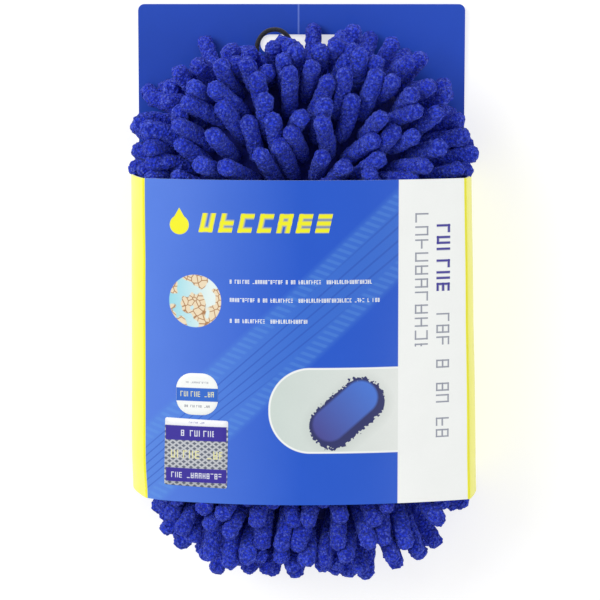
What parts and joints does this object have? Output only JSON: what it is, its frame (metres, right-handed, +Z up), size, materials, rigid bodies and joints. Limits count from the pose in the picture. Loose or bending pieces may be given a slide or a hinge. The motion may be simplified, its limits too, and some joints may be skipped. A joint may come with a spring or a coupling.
{
  "type": "wash mitt",
  "caption": "Foam-cored wash mitt with a chenille noodle face, smooth back and hanging loop, held in a slide-off printed card sleeve with a slotted header.",
  "frame": {"origin": "on the resting surface, under the middle of the whole packaged mitt", "axes": "+Z up out of the chenille face, +Y along the mitt towards the header card with the hanging slot, +X to the right seen from above"},
  "size_m": [0.1306, 0.2196, 0.062],
  "materials": {
    "foam": "matte",
    "microfibre": "matte",
    "ground_cloth": "matte",
    "chenille": "matte",
    "binding": "matte",
    "thread": "satin",
    "cord": "matte",
    "printed_card": "gloss",
    "glue": "gloss",
    "paper_label": "satin",
    "foil": "satin"
  },
  "bodies": {
    "mitt": {"foam_core": "foam", "microfibre_back": "microfibre", "chenille_ground_cloth": "ground_cloth", "chenille_pile": "chenille", "seam_binding": "binding", "seam_stitches": "thread", "hang_loop": "cord", "loop_bar_tacks": "thread"},
    "sleeve": {"card_sleeve": "printed_card", "glue_strip": "glue", "round_label": "paper_label", "foil_label": "foil"}
  },
  "joints": [
    {"name": "sleeve_slide", "type": "slide", "parent": "mitt", "child": "sleeve", "axis": [0, 1, 0], "range_m": [0, 0.2]}
  ]
}
